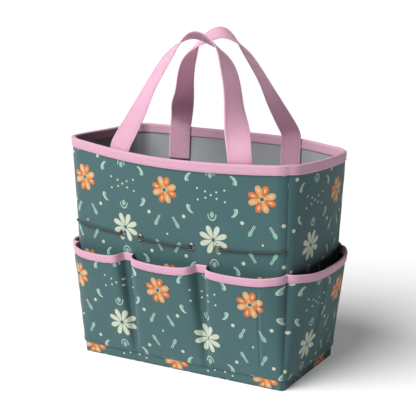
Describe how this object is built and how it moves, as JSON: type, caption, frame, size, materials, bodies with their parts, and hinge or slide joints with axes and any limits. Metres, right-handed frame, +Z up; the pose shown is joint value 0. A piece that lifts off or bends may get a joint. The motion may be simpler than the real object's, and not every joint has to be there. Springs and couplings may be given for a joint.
{
  "type": "garden tool bag",
  "caption": "Upright rectangular cloth tote for garden tools, with outside pockets all round, an elastic tool cord through eyelets, bound edges and standing strap handles.",
  "frame": {"origin": "on the ground under the middle of the bag", "axes": "+X along the length of the bag, -Y out of the front wall with the elastic tool cord, +Z up"},
  "size_m": [0.448, 0.2754, 0.5361],
  "materials": {
    "body_cloth": "matte printed canvas",
    "lining": "matte woven lining",
    "binding": "matte woven tape",
    "strap": "matte stitched cloth strap",
    "board": "matte board",
    "eyelet_metal": "dark gunmetal",
    "elastic": "matte braided cord"
  },
  "bodies": {
    "bag": {"base_panel": "body_cloth", "base_board": "board", "base_lining": "lining", "eyelet_1": "eyelet_metal", "eyelet_2": "eyelet_metal", "eyelet_3": "eyelet_metal", "eyelet_4": "eyelet_metal", "front_panel": "body_cloth", "front_stiffener": "board", "front_lining": "lining", "right_panel": "body_cloth", "right_stiffener": "board", "right_lining": "lining", "back_panel": "body_cloth", "back_stiffener": "board", "back_lining": "lining", "left_panel": "body_cloth", "left_stiffener": "board", "left_lining": "lining", "rim_binding": "binding", "front_pocket_panel": "body_cloth", "front_pocket_binding": "binding", "right_pocket_panel": "body_cloth", "right_pocket_binding": "binding", "back_pocket_panel": "body_cloth", "back_pocket_binding": "binding", "left_pocket_panel": "body_cloth", "left_pocket_binding": "binding", "elastic_cord": "elastic", "front_strap_end_left": "strap", "front_strap_end_right": "strap", "back_strap_end_left": "strap", "back_strap_end_right": "strap"},
    "front_handle": {"front_handle": "strap"},
    "back_handle": {"back_handle": "strap"}
  },
  "joints": [
    {"name": "front_handle_swing", "type": "hinge", "parent": "bag", "child": "front_handle", "pos_m": [0, -0.11888, 0.359], "axis": [1, 0, 0], "range_deg": [0, 115]},
    {"name": "back_handle_swing", "type": "hinge", "parent": "bag", "child": "back_handle", "pos_m": [0, 0.11888, 0.359], "axis": [-1, 0, 0], "range_deg": [0, 115]}
  ]
}
